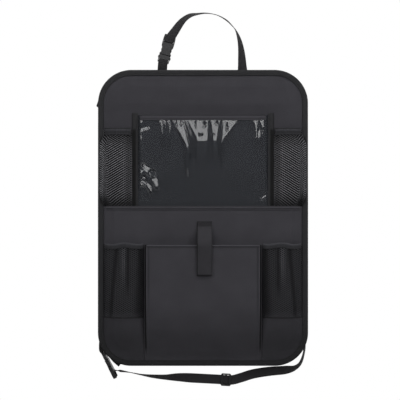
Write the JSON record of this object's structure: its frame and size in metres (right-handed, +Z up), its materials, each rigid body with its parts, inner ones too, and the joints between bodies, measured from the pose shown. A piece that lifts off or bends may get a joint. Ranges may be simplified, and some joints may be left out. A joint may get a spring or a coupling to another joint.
{
  "type": "car seat back organizer",
  "caption": "Padded fabric panel with a clear tablet pocket, net side pockets and cloth pockets, hung on a seat back by webbing loops with side-release buckles.",
  "frame": {"origin": "middle of the padded back face, which lies on the seat back", "axes": "+Z up towards the headrest loop, +Y out of the back face towards the seat, -Y the pocket side, +X to the right seen from the front"},
  "size_m": [0.444, 0.0645, 0.786],
  "materials": {
    "cloth": "matt black polyester with a fine plain weave",
    "lining": "matt black nonwoven lining",
    "foam": "grey foam sheet, hidden inside",
    "binding": "black woven tape",
    "film": "clear flexible vinyl",
    "net": "black knitted net",
    "elastic": "black ribbed elastic",
    "hook_and_loop": "black hook and loop tape",
    "webbing": "black ribbed webbing",
    "buckle_plastic": "black moulded acetal, satin"
  },
  "bodies": {
    "organizer": {"front_panel": "cloth", "wide_pocket": "cloth", "lower_pocket_foot_left": "cloth", "lower_pocket_foot_right": "cloth", "centre_pocket": "cloth", "closure_tab": "cloth", "rear_lining": "lining", "foam_core": "foam", "edge_binding": "binding", "window_tape_left": "binding", "window_tape_right": "binding", "window_top_hem": "binding", "wide_pocket_hem": "binding", "tablet_window": "film", "upper_mesh_left": "net", "upper_mesh_right": "net", "lower_mesh_left": "net", "lower_mesh_right": "net", "upper_elastic_left": "elastic", "upper_elastic_right": "elastic", "lower_elastic_left": "elastic", "lower_elastic_right": "elastic", "closure_hook_patch": "hook_and_loop", "closure_loop_patch": "hook_and_loop", "top_strap_short": "webbing", "top_strap_long": "webbing", "bottom_strap_short": "webbing", "bottom_strap_long": "webbing", "top_buckle_plug": "buckle_plastic", "bottom_buckle_plug": "buckle_plastic"},
    "top_socket": {"top_buckle_socket": "buckle_plastic"},
    "bottom_socket": {"bottom_buckle_socket": "buckle_plastic"},
    "slider": {"strap_slider": "buckle_plastic"}
  },
  "joints": [
    {"name": "top_buckle_release", "type": "slide", "parent": "organizer", "child": "top_socket", "axis": [0.2681, 0, 0.9634], "range_m": [0, 0.021], "deforming": ["top_strap_long", "top_buckle_plug"]},
    {"name": "bottom_buckle_release", "type": "slide", "parent": "organizer", "child": "bottom_socket", "axis": [0.4472, 0, -0.8944], "range_m": [0, 0.021], "deforming": ["bottom_strap_long", "bottom_buckle_plug"]},
    {"name": "slider_travel", "type": "slide", "parent": "organizer", "child": "slider", "axis": [-0.9987, 0, 0.0517], "range_m": [0, 0.06]}
  ]
}
